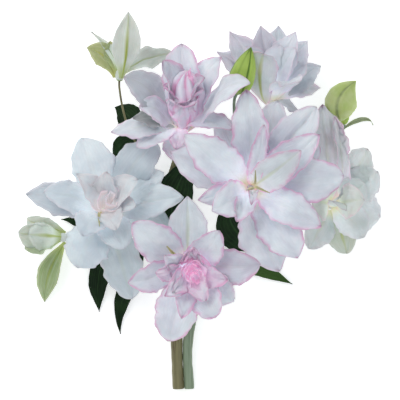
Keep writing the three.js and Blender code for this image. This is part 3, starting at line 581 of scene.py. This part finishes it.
BLOOMS = {
    "centre_bloom": dict(
        slot="tepal_pink_edged", place=(53, 13, 42), facing=(0.03, -0.02, 1),
        outer=[
            row([(-6, 100, 44), 40, 35, 100, 20, 0, 0.5, 2], "pink", 3.2, (-20, 25), 1.5),
            row([(67, 83, 36), 46, 40, 105, 15, 0, 0.5, 0], "pale", 2.4, (20, -25), 4),
            row([(95, 12, 40), 50, 40, 105, 10, 0, 0.45, 0], "pink", 2, (20, -20)),
            row([(48, -73, 34), 46, 40, 115, 10, 0, 0.5, 0], "pink", 3, (-20, -35), 1.5),
            row([(30, -87, 16), 50, 55, 115, 0, 0, 0.6, 6], "pale", 3, (-20, 10), 1.5),
            row([(-84, 37, 26), 44, 50, 105, 10, 0, 0.7, 0], "pale", 2, (-30, 0)),
        ],
        inner=[
            row([(-69, 54, 48), 42, 25, 105, 15, 0, 0.6, 0], "pink", 3.2, (-25, -25), 1.5),
            row([(69, 54, 50), 38, 20, 100, 15, 0, 0.6, 0], "pink", 2.4, (0, 20), 2),
            row([(71, -40, 46), 38, 25, 110, 15, 0, 0.6, 0], "pink", 3, (-25, 25), 1.5),
            row([(-41, -24, 58), 38, 10, 120, 20, 0, 0.6, 0], "pink", 2, (-30, 10), 1),
            row([(49, 37, 68), 36, 5, 80, 40, 0, 0.6, 0], "creamy_pink", 1.4, (0, -20), 1),
            row([(12, 63, 66), 20, 5, 75, 30, 0, 0.4, 0], "pink", 2, (0, 60)),
            row([(-55, -13, 40), 26, 25, 105, 10, 0, 0.7, 0], "pink", 2),
            row([(-16, -35, 54), 24, 10, 110, 20, 0, 0.6, 0], "pink", 2, (20, 0)),
            row([(-1, -18, 62), 14, 10, 80, 40, 0, 0.5, 0], "pink", 2, (30, 30)),
            row([(3, 17, 62), 2.4, 5, 50, 40, 0, 0.4, 2], "stamen", 0.6),
            row([(18, -6, 58), 2.6, 5, 60, 40, 0, 0.4, -2], "stamen", 0.6),
            row([(-6, -3, 60), 2.2, 5, 60, 40, 0, 0.4, 0], "stamen", 0.6),
            row([(28, 90, 22), 44, 45, 100, 0, 0, 0.5, 0], "soft", 2),
            row([(72, 42, 24), 40, 45, 100, 0, 0, 0.5, 0], "pink", 2),
            row([(-34, 76, 18), 34, 45, 100, 0, 0, 0.5, 0], "soft", 2),
        ]),
    "front_bloom": dict(
        slot="tepal_pink_edged", place=(-14, -66, 48), facing=(0.1, -0.22, 0.97),
        outer=[
            row([(-55, 43, 40), 42, 35, 100, 15, 0, 0.55, 0], "pink", 2, (10, 0), 1),
            row([(1, 70, 30), 42, 45, 100, 10, 0, 0.8, 0], "ribbed", 1.6, (-20, 20), 2),
            row([(76, 0, 36), 42, 40, 100, 15, 0, 0.55, 0], "dim_pink", 2, (15, 0), 1),
            row([(49, -39, 26), 36, 50, 105, 10, 0, 0.5, 0], "pale", 2),
            row([(-20, -80, 22), 46, 45, 110, 5, 0, 0.35, 0], "pink", 2, (-25, -25), 2),
            row([(-60, -19, 36), 34, 40, 105, 10, 0, 0.6, 0], "pink", 2, (-20, 20), 1),
        ],
        inner=[
            row([(30, -54, 44), 38, 25, 110, 10, 0, 0.4, 0], "pink", 2, (20, 20)),
            row([(34, 35, 56), 38, 20, 95, 20, 0, 0.5, 0], "pink", 2, (25, 0)),
            row([(-5, -54, 50), 24, 20, 110, 10, 0, 0.6, 0], "pink", 2),
            row([(-22, 10, 58), 26, 10, 90, 30, 0, 0.6, 0], "pink", 3),
            row([(-22, -31, 60), 26, 10, 95, 30, 0, 0.6, 0], "rosy", 3, (30, 0)),
            row([(6, 16, 58), 30, 10, 60, 40, 0, 0.4, 0], "pink", 3, (20, 20)),
            row([(42, -15, 50), 26, 20, 100, 20, 0, 0.5, 0], "rosy", 2, (20, 20)),
            row([(20, -36, 58), 26, 10, 90, 30, 0, 0.4, 0], "rosy", 3, (20, 20)),
            row([(-20, 19, 47), 4, 10, 90, 30, 0, 0.4, 0], "gold", 1),
            row([(-31, -8, 54), 26, 15, 95, 30, 0, 0.5, 0], "rosy", 4, (30, 30)),
            row([(-14, -28, 60), 22, 10, 80, 30, 0, 0.5, 0], "rosy", 4, (30, 30)),
            row([(8, 18, 62), 22, 5, 60, 40, 0, 0.4, 0], "rose", 4, (30, 30)),
        ],
        whorl=((0.18, -0.22, 0.96), 62, 19, "rose", 3.3)),
    "left_bloom": dict(
        slot="tepal_white", place=(-100, -17, 28), facing=(0, 0.42, 0.91),
        outer=[
            row([(-25, 83, 8), 52, 45, 105, -10, 0, 0.4, 0], "plain", 2, (-75, -10), 1),
            row([(54, 79, 10), 46, 45, 105, -5, 0, 0.35, -3], "grey_painted_shade", 2.2, (-20, -20), 2.5),
            row([(83, 20, 32), 40, 45, 100, 10, 0, 0.65, 0], "plain", 2, (-20, -20), 2),
            row([(28, -88, 10), 44, 50, 115, 5, 0, 0.4, 0], "cream", 3, (-20, -20), 1),
            row([(-28, -54, 24), 50, 45, 150, -5, 0, 0.35, 0], "plain", 3, (-20, -20), 1),
            row([(-83, 23, 18), 38, 45, 110, 5, 0, 0.7, 0], "grey_painted_shade", 2, (-60, 0), 1),
        ],
        inner=[
            row([(-62, 25, 36), 36, 25, 110, 10, 0, 0.6, 0], "plain", 2, (-20, 0)),
            row([(-20, -20, 58), 36, 5, 140, 10, 0, 0.5, 0], "plain", 2, (-20, -20)),
            row([(21, -34, 42), 38, 25, 120, 5, 0, 0.5, 0], "plain", 2, (-20, -20)),
            row([(-27, 44, 52), 28, 10, 90, 25, 0, 0.7, 0], "peach", 2, (20, 20)),
            row([(36, 38, 50), 34, 15, 95, 20, 0, 0.6, 0], "peach", 2, (20, 20)),
            row([(14, -14, 60), 30, 5, 110, 20, 0, 0.5, 0], "peach", 2, (20, 20)),
            row([(34, 10, 50), 30, 15, 80, 30, 0, 0.5, 0], "peach", 2, (20, 20)),
            row([(4, 46, 48), 30, 15, 80, 30, 0, 0.5, 0], "peach", 2, (20, 20)),
            row([(-3, -10, 58), 3, 10, 100, 30, 0, 0.4, 3], "gold", 0.4),
            row([(62, 46, 16), 34, 45, 100, 0, 0, 0.5, 0], "plain", 2),
            row([(70, -13, 4), 42, 45, 100, 0, 0, 0.5, 0], "cream", 2),
        ],
        whorl=((0.17, 0.38, 0.91), 54, 21, "blush", 2.8)),
    "upper_bloom": dict(
        slot="tepal_pink_edged", place=(-18, 73, 42), facing=(-0.02, 0.72, 0.69),
        outer=[
            row([(-1, 89, 22), 42, 30, 80, 10, 0, 0.5, 0], "pink", 2, (20, 40), 3),
            row([(-61, 55, 24), 44, 45, 95, 10, 0, 0.5, 0], "dim", 2, (-25, 20), 1),
            row([(-75, -2, 14), 34, 55, 100, 10, 0, 0.5, 0], "pale", 2, (-20, -20)),
            row([(-45, 22, 33), 30, 40, 110, 10, 0.4, 0.6, 0], "pale", 1.5, (0, 30)),
            row([(40, 75, 26), 40, 35, 85, 10, 0, 0.6, 0], "pink", 2, (0, 20), 2),
            row([(69, 46, 56), 42, 45, 95, 10, 0, 0.5, 0], "pale", 2, (0, -20)),
        ],
        inner=[
            row([(52, 0, 42), 30, 25, 90, 15, 0, 0.6, 0], "dim_pink", 2, (30, 20)),
            row([(-48, -18, 22), 30, 45, 100, 10, 0, 0.5, 0], "pale", 2),
            row([(-20, 70, 44), 38, 20, 60, 25, 0, 0.5, 0], "dim_pink", 3, (40, 20)),
            row([(23, 52, 48), 34, 20, 60, 25, 0, 0.5, 0], "dim_pink", 3, (30, 40)),
            row([(-20, 44, 44), 24, 15, 60, 25, 0, 0.4, 0], "rosy", 3, (30, 10)),
            row([(22, 40, 46), 24, 15, 60, 25, 0, 0.4, 0], "rosy", 3, (10, 30)),
            row([(-7, 25, 48), 34, 15, 70, 25, 0, 0.3, 0], "rosy", 3, (20, 20)),
            row([(13, 25, 48), 34, 15, 70, 25, 0, 0.3, 0], "rosy", 3, (20, 20)),
            # This tepal is painted dark, as the shade under the tepals around it.
            row([(-52, 12, 18), 28, 55, 100, 10, 0, 0.5, 0], "dark_painted_shade", 2),
            row([(-11, -31, 14), 32, 50, 105, 10, 0, 0.5, 0], "lilac", 2),
            row([(-7, -20, 28), 20, 40, 110, 20, 0, 0.5, 0], "rosy", 2),
        ],
        whorl=((0.1, 0.8, 0.6), 74, 9, "rose", 2.2),
        middle=((0.06, 0.83, 0.56), 66, 20, "rosy", 6)),
    "top_bloom": dict(
        slot="tepal_pink_edged", place=(74, 101, 38), facing=(0.05, 0.87, 0.48),
        outer=[
            row([(-56, 57, -14), 36, 35, 85, 10, 0.3, 0.8, 0], "pale_painted_shade", 2, (20, 0), 2),
            row([(-42, 80, -24), 38, 30, 70, 10, 0.2, 0.8, 0], "pale_painted_shade", 2, (0, 20), 2),
            row([(11, 87, -36), 40, 30, 60, 10, 0, 0.8, 0], "grey_painted_shade", 2, (20, 0), 2),
            row([(55, 42, -16), 38, 45, 85, 10, 0.3, 0.8, 0], "grey_painted_shade", 2, (20, 0), 2),
            row([(40, 68, -6), 38, 30, 65, 10, 0.3, 0.8, 0], "soft", 2, (20, 0), 2),
            row([(-9, 48, 56), 38, 40, 70, 10, 0, 0.5, 8], "soft_rib", 1.5, (-10, 10), 1),
        ],
        inner=[
            row([(-10, 83, 0), 36, 15, 45, 20, 0, 0.8, 0], "pale_painted_shade", 2, (0, 20), 2),
            row([(27, 76, 6), 36, 20, 50, 20, 0.2, 0.8, 0], "soft", 2, (20, 20), 2),
            row([(28, 20, 50), 34, 35, 85, 10, 0.2, 0.5, 0], "soft", 1),
            row([(54, 18, -10), 26, 60, 100, 10, 0.4, 0.9, 0], "soft", 2),
            row([(26, 57, 24), 36, 20, 50, 20, 0.2, 0.5, 0], "soft", 1.2),
            row([(10, 62, 12), 34, 15, 50, 20, 0.2, 0.5, 0], "soft", 1.2),
            row([(38, 42, 8), 34, 20, 60, 20, 0.3, 0.5, 0], "soft", 1.2),
            row([(-26, 60, 14), 34, 20, 60, 20, 0.3, 0.5, 0], "pale_painted_shade", 2, (10, 10)),
            row([(2, -20, -4), 30, 60, 100, 10, 0, 0.5, 0], "soft", 1),
            row([(30, -6, -2), 30, 60, 100, 10, 0, 0.5, 0], "dim", 1),
        ]),
    "right_bloom": dict(
        slot="tepal_cream", place=(138, -5, 25), facing=(0.3, 0.08, 0.95),
        outer=[
            row([(39, 59, 14), 40, 45, 100, 10, 0, 0.4, 0], "cream", 3, (0, -20)),
            row([(50, 35, 12), 42, 45, 100, 10, 0, 0.4, 0], "plain", 3, (0, -20)),
            row([(56, -14, -20), 42, 50, 120, 10, 0, 0.4, 0], "plain", 3, (0, -20)),
            row([(18, -52, 4), 38, 50, 105, 10, 0, 0.5, 0], "green_base", 2, (0, 0), 1.5),
            row([(-24, -46, 24), 34, 45, 100, 10, 0, 0.5, 0], "cream", 2),
        ],
        inner=[
            row([(-10, 105, 25), 44, 45, 100, 10, 0, 0.5, -4], "lilac_painted_shade", 5, (40, 40), 3),
            row([(34, -34, 26), 36, 25, 110, 10, 0, 0.4, 0], "plain", 2, (0, -20)),
            row([(35, 23, 24), 36, 30, 100, 10, 0, 0.5, 0], "cream", 1.2, (0, 0)),
            row([(-6, 36, 30), 34, 30, 95, 10, 0, 0.5, 0], "cream", 1.2, (0, 0)),
            row([(31, 5, 58), 38, 15, 100, 10, 0, 0.5, 0], "creamy", 1.0, (8, 0)),
            row([(-22, 4, 34), 40, 30, 100, 10, 0, 0.6, 0], "creamy", 1.2),
            row([(14, -6, 44), 30, 5, 100, 20, 0, 0.35, 0], "creamy", 1.2),
            row([(2, 92, 34), 18, 20, 80, 40, 0, 0.5, 6], "lilac", 4, (40, 40)),
            row([(9, 18, 46), 4, 5, 50, 40, 0, 0.4, 0], "plain", 1),
            row([(31, 9, 46), 3, 15, 90, 40, 0, 0.4, 0], "straw", 1),
        ]),
    "opening_bud": dict(
        slot="tepal_greenish", place=(-85, 128, 40), facing=(0.05, 0.97, 0.2),
        outer=[
            row([(11, 66.6, 32), 32, 30, 5, 25, 0, 0.8, 0], "ribbed_green", 1, (-40, -40), 1.5),
            row([(-34, 32, 6), 28, 5, 85, 25, 0.6, 0.7, 0], "olive", 1, (-30, 0), 2),
        ],
        inner=[
            row([(57, 28, -8), 26, 40, 80, 15, 0.6, 0.5, 0], "green_painted_shade", 2, (0, 0), 1.5),
            row([(-10, 40, 0), 22, 15, 10, 30, 0.6, 0.7, 0], "olive", 1),
            row([(10, 48, -10), 24, 10, 10, 30, 0.4, 0.7, 0], "green", 1),
            row([(-30, 50, -4), 10, 5, 60, 20, 0.6, 1.6, 0], "green", 1),
        ]),
    "half_open_bud": dict(
        slot="tepal_greenish", place=(-142, -40, 26), facing=(-0.93, 0.05, 0.3),
        outer=[
            row([(-26, -70, -24), 25, 65, 100, 10, 0.8, 0.8, 0], "leafy", 1, (0, 0), 2),
            row([(-42, 21, 2), 34, 25, 50, 25, 0.3, 0.6, 0], "green", 1),
        ],
        inner=[
            row([(-50, 6, 12), 34, 15, 20, 40, 0.3, 0.4, 0], "green", 2),
            row([(-44, -12, 6), 34, 15, 20, 40, 0.3, 0.5, 0], "greener", 2),
            row([(-38, 4, 26), 34, 20, 10, 40, 0, 0.5, 0], "green", 2, (20, 20)),
        ]),
    "pale_bud": dict(
        slot="bud_green", place=(153, 83, 32), facing=(0.1, 0.9, 0.3),
        outer=[],
        inner=[],
        spindle=dict(
            path=[(150, 85, 34), (142.5, 107, 44), (163, 124.3, 58)], diameter=35,
            shape=[0.12, 0.36, 0.46, 0.5, 0.45, 0.33, 0.17, 0.01], seam=106, lines=[(106, 1.0), (346, 0.8)],
            # lift paints light on one side of the bud, and the last share paints shade over it.
            tip=0.0, lift=0.6, flush=0.6, gold=0.12, dim=0.06)),
}


def turning_frame(axis):
    """The axis and two directions square to it, for what winds round it."""
    facing = unit(axis)
    side = unit(np.cross((0, 1, 0), facing))
    return facing, side, np.cross(facing, side)


def whorl(mesh, bloom, seed):
    """The crumpled tepals wound round a bloom's middle, as one sheet rolled in a spiral."""
    axis, height, radius, look, turns = bloom["whorl"]
    facing, side, up = turning_frame(axis)
    chance = np.random.RandomState(seed)
    phase = chance.uniform(0, 2 * math.pi, 6)
    rows, columns = 12, int(46 * turns)
    h = np.linspace(0, 1, rows)[:, None]
    share = np.linspace(0, 1, columns)[None]
    turn = share * turns * 2 * math.pi
    lobes = 1 + 0.13 * np.sin(2.3 * turn + phase[0]) + 0.08 * np.sin(5.3 * turn + phase[1])
    brim = radius * (0.14 + 0.86 * share ** 0.9) * lobes
    top = height * (1 - 0.3 * share ** 1.4) + 2.2 * np.sin(1.8 * turn + phase[2])
    top = top + 1.3 * np.sin(4.7 * turn + phase[3])
    out = brim * (0.5 + 0.5 * h ** 1.6) + 0.5 * np.sin(9 * turn + 4 * h + phase[4]) * h
    rise = 6 + (top - 6) * h ** 0.85
    points = (np.array(bloom["place"], float) + facing * rise[..., None]
              + (side * np.cos(turn)[..., None] + up * np.sin(turn)[..., None]) * out[..., None])
    rim = (1 - h) * (top - 6)
    # The whorl glows all over with painted light.
    sheet(mesh, points, rim, 0.8, LOOKS[look], along=0.75, across=0.4 * np.sin(3 * turn),
          deep=0.6)


def folded_middle(mesh, bloom):
    """The tight bud of folded tepals in the middle of a bloom, ridged in a spiral."""
    axis, height, radius, look, folds = bloom["middle"]
    facing, side, up = turning_frame(axis)
    rows, sides = 22, 60
    h = np.linspace(0, 1, rows)[:, None]
    turn = np.linspace(0, 2 * math.pi, sides, endpoint=False)[None]
    profile = np.interp(h, [0, 0.3, 0.6, 0.8, 0.92, 1], [0.35, 0.8, 1.0, 0.85, 0.5, 0.04])
    ridge = 0.5 + 0.5 * np.sin(folds * turn + 3 * h + 1.2 * np.sin(2 * turn + 4 * h))
    shape = radius * profile * (0.8 + 0.28 * ridge + 0.05 * np.sin(13 * turn + 9 * h))
    top = height * (h + 0.05 * ridge * h)
    points = (np.array(bloom["place"], float) + facing * (4 + top)[..., None]
              + (side * np.cos(turn)[..., None] + up * np.sin(turn)[..., None]) * shape[..., None])
    # The folded middle glows a little with painted light.
    mesh.add(points.reshape(-1, 3), shut_tube_faces(rows, sides), along=0.7, across=0.5,
             rim=(9 * ridge + 0.4).reshape(-1), deep=0.2, **dict(zip(LOOK_PARTS, LOOKS[look])))


def seat_of(mesh, bloom):
    """Adds the knob that a bloom's tepals grow from."""
    facing = unit(bloom["facing"])
    path = np.array(bloom["place"]) + facing * np.array([[-2.0], [0.0], [4.0], [8.0], [11.0]])
    tube(mesh, path, [2.8, 4.0, 5.0, 4.0, 0.6], 14)


def spindle(mesh, path, diameter, shape, seam, lines, tip, lift, **look):
    """A closed bud: three lobes with seams between them, darker lines along it, and painted light on one
    side.
    """
    rows, sides = 36, 90
    h = np.linspace(0, 1, rows)[:, None]
    base, middle, end = (np.array(p, float) for p in path)
    axis = base * (1 - h) ** 2 + middle * 2 * h * (1 - h) + end * h ** 2
    run = np.gradient(axis, axis=0)
    run = unit(run)
    side = unit(np.cross(run, (0, 0, 1)))
    up = np.cross(side, run)
    radius = np.interp(h[:, 0], [0, 0.12, 0.28, 0.42, 0.6, 0.75, 0.88, 1], shape) * diameter
    turn = np.linspace(0, 360, sides, endpoint=False)
    off = np.abs(np.mod(turn - seam + 60, 120) - 60) / 60
    ring = radius[:, None] * (1 - 0.12 * np.exp(-(off / 0.14) ** 2))
    angle = np.radians(turn)
    points = axis[:, None] + ring[..., None] * (
        side[:, None] * np.cos(angle)[:, None] + up[:, None] * np.sin(angle)[:, None])
    away = np.array([np.abs(np.mod(turn - line + 180, 360) - 180) / 60 for line, _ in lines])
    nearest = away.argmin(axis=0)
    strength = np.array([share for _, share in lines])[nearest]
    dark_tip = np.clip((h - 0.84) / 0.12, 0, 1) * tip
    across = away.min(axis=0) * (1 - dark_tip)
    rib = strength + (1 - strength) * dark_tip
    # Painted light: lift makes the half of the bud that faces its side direction glow, most where it faces
    # it squarely.
    glow = np.broadcast_to(lift * np.clip(np.cos(angle), 0, 1), (rows, sides))
    mesh.add(points.reshape(-1, 3), shut_tube_faces(rows, sides), along=0.4,
             across=across.reshape(-1), rim=9.0, rib=rib.reshape(-1), deep=glow.reshape(-1), **look)


for number, (name, bloom) in enumerate(BLOOMS.items()):
    for i, entry in enumerate(bloom["outer"], 1):
        made = Mesh()
        tepal(made, bloom, **entry, inner=False, seed=100 * number + i)
        made.piece(f"{name}_outer_{i}", bloom["slot"], [f"{name}_tepal_{i}"])
    made = Mesh()
    for i, entry in enumerate(bloom["inner"], 1):
        tepal(made, bloom, **entry, inner=True, seed=100 * number + 20 + i)
    if "spindle" in bloom:
        spindle(made, **bloom["spindle"])
    if "whorl" in bloom:
        whorl(made, bloom, 100 * number + 70)
    if "middle" in bloom:
        folded_middle(made, bloom)
    seat_of(made, bloom)
    made.piece(f"{name}_inner", bloom["slot"], [f"{name}_heart"])


# ---- Closed bud ----
BUD_BASE, BUD_TIP = np.array([38, 111, 62.0]), np.array([52.5, 157, 84.0])


def closed_bud():
    made = Mesh()
    spindle(
        made, path=[BUD_BASE, (BUD_BASE + BUD_TIP) / 2, BUD_TIP], diameter=28,
        shape=[0.12, 0.43, 0.49, 0.48, 0.41, 0.3, 0.16, 0.01], seam=64,
        # lift paints light on one side of the bud.
        lines=[(64, 1.0), (112, 0.3), (163, 0.9), (304, 1.0)], tip=1.0, lift=0.7)
    made.piece("green_bud_closed", "bud_green", ["green_bud"])


closed_bud()

# ---- Leaves: base, tip, width, direction at the base, direction at the tip ----
LEAF_SEED = 900
BRACT_SEED = 950
PALER_LEAF = 8
LEAVES = [
    [(-76, 76, 22), (-92, 100, 8), 28, (0.7, 1, 0), (-1, 0.3, -0.1)],
    [(-66, 62, 20), (-88, 37, 8), 24, (-1, 0.6, 0), (0.1, -1, -0.2)],
    [(-28, -34, 16), (-8, 48, 26), 40, (-0.3, 1, 0.3), (0.5, 1, 0)],
    [(-96, -52, 16), (-150, -21, 2), 18, (-0.5, 0.7, -0.4), (-1, 0, -0.1)],
    [(-96, -52, 16), (-109, -121, 1), 22, (-0.7, -1, -0.1), (0.1, -1, -0.2)],
    [(-63, -43, 13.5), (-86, -145, 1), 20, (-0.1, -1, 0), (0.2, -1, -0.1)],
    [(33, -8, 19.3), (62, -57, 5), 42, (-0.3, -1, 0.2), (0.9, -1, -0.2)],
    [(12, -62, 10.5), (100, -91, 1), 20, (1, 0, 0), (1, -0.5, -0.1)],
    [(6, -80, 9.5), (38, -107, 1), 17, (0.8, -0.5, 0), (0.5, -1, -0.1)],
]


def leaf(mesh, row, seed, look="plain", wave=1.2, pith=0):
    """Adds one leaf or bract. row is its base, tip, width and directions at both ends."""
    base, tip, width, out, fall = row
    base, tip = np.array(base, float), np.array(tip, float)
    blade(mesh, dict(
        base=base, tip=tip, out=unit(out), fall=unit(fall), side=unit(np.cross(tip - base, (0, 0, 1))),
        width=width, cup=18, up=0, point=1.0, sway=0, claw=0.35, widest=0.45, wave=wave,
        roll=(0, 0), groove=0.9, thickness=LEAF_THICKNESS, look=LOOKS[look], seed=seed,
        deep=(0, 0, 1), pith=pith))


for i, row in enumerate(LEAVES, 1):
    made = Mesh()
    leaf(made, row, LEAF_SEED + i, "leafy" if i == PALER_LEAF else "plain")
    made.piece(f"leaf_blade_{i}", "leaf", [f"leaf_{i}"])

# ---- Stems ----
STEM_STEPS = 60
STALK_STEPS = 30
STEMS = {
    "stem_left": dict(
        slot="stem_olive",
        swell=1.15, path=[(-23.3, -STEM_CUT, 6.1), (-25.2, -154, 7.4), (-24, -70, 9), (-36, 14, 14)],
        stalks=[
            ("front_bloom", (-24, -110, 8), (-20, -86, 20)),
            ("left_bloom", (-34, 0, 13), (-74, -28, 16)),
            ("upper_bloom", (-36, 12, 14), (-26, 44, 26)),
            ("opening_bud", (-37, 12, 14), (-76, 76, 22)),
            ("half_open_bud", (-30, -30, 11), (-96, -52, 16)),
        ],
        bracts=[]),
    "stem_right": dict(
        slot="stem_green",
        swell=1.0, path=[(-11.6, -STEM_CUT, STEM_RADIUS), (-13, -154, 7), (2, -90, 9), (38, 0, 14)],
        stalks=[
            ("centre_bloom", (30, -20, 12), (48, 2, 24)),
            ("top_bloom", (37, 0, 14), (60, 62, 26)),
            ("right_bloom", (32, -16, 12), (98, -14, 12)),
            ("pale_bud", (38, 0, 14), (118, 38, 14)),
            ("green_bud", (38, 0, 14), (38, 62, 40)),
        ],
        bracts=[
            [(152, 75, 29), (185, 80, 22), 5, (0.7, 0.7, 0.2), (0.3, -1, -0.2)],
            [(118, 38, 14), (137, 97, 18), 12, (0, 1, 0.3), (0.3, 1, 0.1)],
        ]),
}

for name, stem in STEMS.items():
    made = Mesh()
    path = catmull(stem["path"], STEM_STEPS)
    uneven = 0.03 * np.sin(np.linspace(0, 23, STEM_STEPS))
    uneven += 0.02 * np.sin(np.linspace(0, 61, STEM_STEPS))
    radii = STEM_RADIUS * stem["swell"] * (1 + uneven)
    tube(made, path, radii, sides=24, pith=True)
    for target, start, bend in stem["stalks"]:
        if target == "green_bud":
            facing, end = unit(BUD_TIP - BUD_BASE), BUD_BASE
        else:
            facing, end = unit(BLOOMS[target]["facing"]), np.array(BLOOMS[target]["place"], float)
        radius = BUD_STALK_RADIUS if target.endswith("bud") else STALK_RADIUS
        if target == "opening_bud":
            radius = SLIM_STALK_RADIUS
        route = catmull([start, bend, end - facing * 8, end], STALK_STEPS)
        swell = 1 + 0.5 * np.exp(-np.linspace(0, 9, STALK_STEPS))
        swell += 0.5 * np.exp(-np.linspace(12, 0, STALK_STEPS))
        tube(made, route, radius * swell, sides=14)
    for i, bract in enumerate(stem["bracts"]):
        leaf(made, bract, BRACT_SEED + i, pith=0.7)
    made.piece(f"{name}_grown", stem["slot"], [name])
